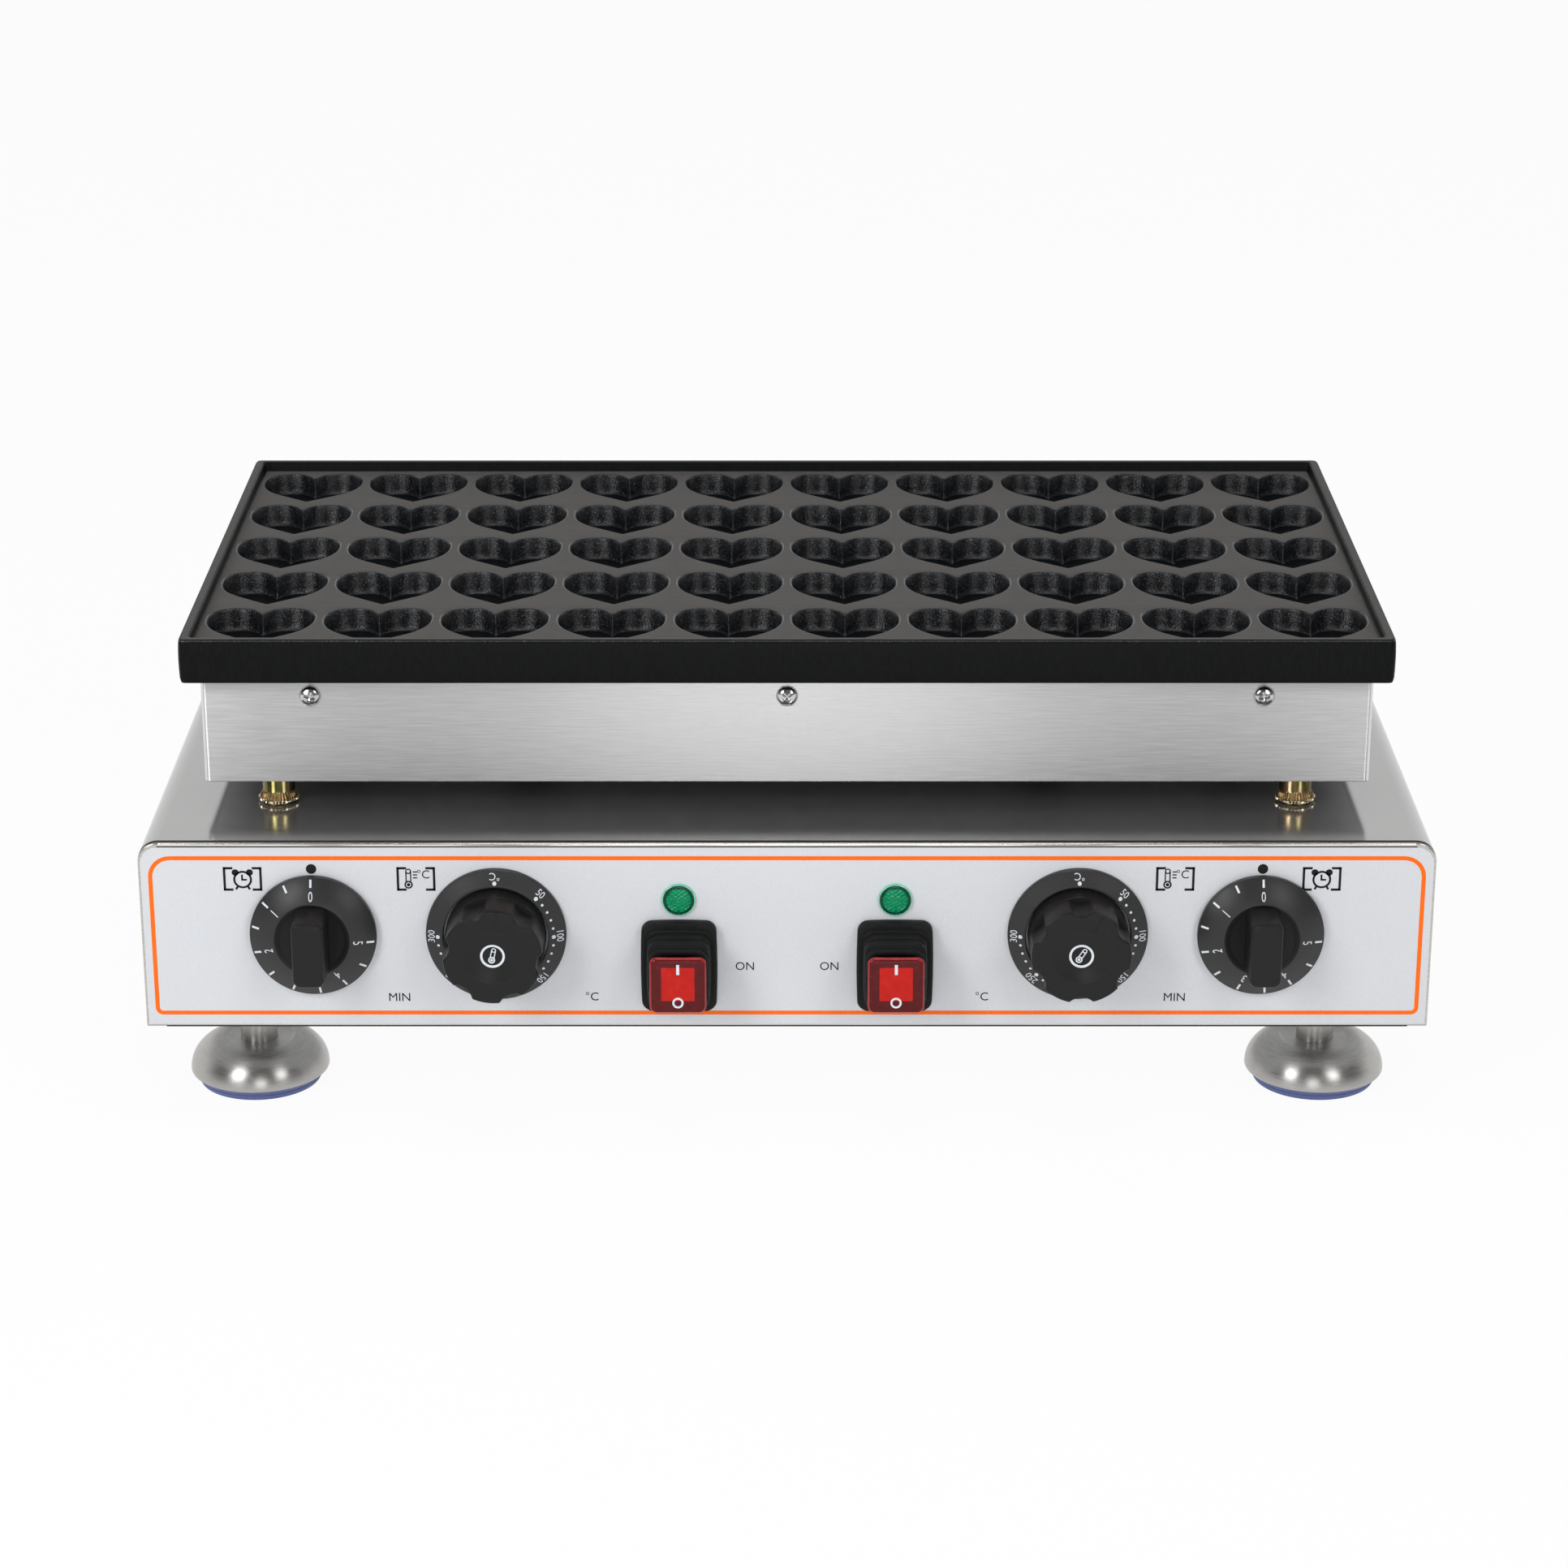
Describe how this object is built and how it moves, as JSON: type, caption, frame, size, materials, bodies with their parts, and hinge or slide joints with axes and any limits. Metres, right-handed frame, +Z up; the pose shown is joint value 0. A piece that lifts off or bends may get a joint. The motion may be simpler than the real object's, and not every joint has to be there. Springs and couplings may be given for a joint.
{
  "type": "heart waffle maker",
  "caption": "Countertop electric baker: an open cast plate of heart-shaped wells over a heater box, on a steel base with timers, thermostats, lamps and covered rocker switches.",
  "frame": {"origin": "on the surface that the feet stand on, under the middle of the overall box", "axes": "+Z up, -Y towards the control panel, +X to the right of someone facing the panel"},
  "size_m": [0.58, 0.4176, 0.2175],
  "materials": {
    "stainless": "brushed stainless sheet",
    "galvanised": "dull zinc-coated sheet",
    "fastener_steel": "bright zinc",
    "panel_film": "printed satin film",
    "yellow_zinc": "yellow passivated zinc on steel",
    "blue_rubber": "matte",
    "black_rubber": "matte",
    "coated_casting": "black non-stick coating",
    "coated_deck": "black non-stick coating, worn dull",
    "heater_sheath": "oxidised steel tube",
    "mineral_wool": "fibre blanket",
    "copper": "drawn copper",
    "wire_sleeve": "glass-silk sleeve",
    "black_plastic": "moulded, satin",
    "green_lens": "clear green lens",
    "red_cap": "clear red cap",
    "pale_plastic": "moulded"
  },
  "bodies": {
    "base": {"base_wrap": "stainless", "front_panel": "stainless", "rear_panel": "stainless", "bottom_cover": "galvanised", "bottom_screws": "fastener_steel", "control_film": "panel_film", "foot_nuts": "fastener_steel", "pillars": "yellow_zinc", "pillar_bolts": "fastener_steel", "m6_nuts": "fastener_steel", "heater_box": "stainless", "heater_box_floor": "galvanised", "box_screws": "fastener_steel", "insulation": "mineral_wool", "baking_plate": "coated_casting", "heart_rows_odd": "coated_deck", "heart_rows_even": "coated_deck", "heater_left": "heater_sheath", "heater_right": "heater_sheath", "heater_clamps": "fastener_steel", "clamp_studs": "fastener_steel", "sensor_left": "copper", "sensor_right": "copper", "wire_conduits": "galvanised", "wiring": "wire_sleeve", "timer_body_left": "black_plastic", "timer_body_right": "black_plastic", "thermostat_body_left": "black_plastic", "thermostat_body_right": "black_plastic", "thermostat_ring_left": "black_plastic", "thermostat_ring_right": "black_plastic", "lamp_lenses": "green_lens", "lamp_sockets": "pale_plastic", "switch_boots": "black_rubber", "switch_bodies": "black_plastic", "cable_gland": "black_plastic", "gland_nut": "black_plastic", "terminal_block": "pale_plastic"},
    "timer_left": {"timer_knob_left": "black_plastic", "timer_shaft_left": "fastener_steel"},
    "thermostat_left": {"thermostat_knob_left": "black_plastic", "thermostat_shaft_left": "fastener_steel"},
    "rocker_left": {"rocker_left": "red_cap"},
    "timer_right": {"timer_knob_right": "black_plastic", "timer_shaft_right": "fastener_steel"},
    "thermostat_right": {"thermostat_knob_right": "black_plastic", "thermostat_shaft_right": "fastener_steel"},
    "rocker_right": {"rocker_right": "red_cap"},
    "foot_front_left": {"foot_front_left_stem": "stainless", "foot_front_left_bell": "stainless", "foot_front_left_pad": "blue_rubber"},
    "foot_front_right": {"foot_front_right_stem": "stainless", "foot_front_right_bell": "stainless", "foot_front_right_pad": "blue_rubber"},
    "foot_rear_left": {"foot_rear_left_stem": "stainless", "foot_rear_left_bell": "stainless", "foot_rear_left_pad": "blue_rubber"},
    "foot_rear_right": {"foot_rear_right_stem": "stainless", "foot_rear_right_bell": "stainless", "foot_rear_right_pad": "blue_rubber"}
  },
  "joints": [
    {"name": "timer_left_turn", "type": "hinge", "parent": "base", "child": "timer_left", "pos_m": [-0.2125, -0.1803, 0.0905], "axis": [0, 1, 0], "range_deg": [0, 265]},
    {"name": "timer_right_turn", "type": "hinge", "parent": "base", "child": "timer_right", "pos_m": [0.2125, -0.1803, 0.0905], "axis": [0, 1, 0], "range_deg": [0, 265]},
    {"name": "thermostat_left_turn", "type": "hinge", "parent": "base", "child": "thermostat_left", "pos_m": [-0.1305, -0.1803, 0.0905], "axis": [0, 1, 0], "range_deg": [-5, 265]},
    {"name": "thermostat_right_turn", "type": "hinge", "parent": "base", "child": "thermostat_right", "pos_m": [0.1305, -0.1803, 0.0905], "axis": [0, 1, 0], "range_deg": [-25, 245]},
    {"name": "rocker_left_tip", "type": "hinge", "parent": "base", "child": "rocker_left", "pos_m": [-0.0485, -0.1863, 0.0755], "axis": [1, 0, 0], "range_deg": [0, 8]},
    {"name": "rocker_right_tip", "type": "hinge", "parent": "base", "child": "rocker_right", "pos_m": [0.0485, -0.1863, 0.0755], "axis": [1, 0, 0], "range_deg": [0, 8]},
    {"name": "foot_front_left_screw", "type": "slide", "parent": "base", "child": "foot_front_left", "axis": [0, 0, -1], "range_m": [0, 0.012]},
    {"name": "foot_front_right_screw", "type": "slide", "parent": "base", "child": "foot_front_right", "axis": [0, 0, -1], "range_m": [0, 0.012]},
    {"name": "foot_rear_left_screw", "type": "slide", "parent": "base", "child": "foot_rear_left", "axis": [0, 0, -1], "range_m": [0, 0.012]},
    {"name": "foot_rear_right_screw", "type": "slide", "parent": "base", "child": "foot_rear_right", "axis": [0, 0, -1], "range_m": [0, 0.012]}
  ]
}
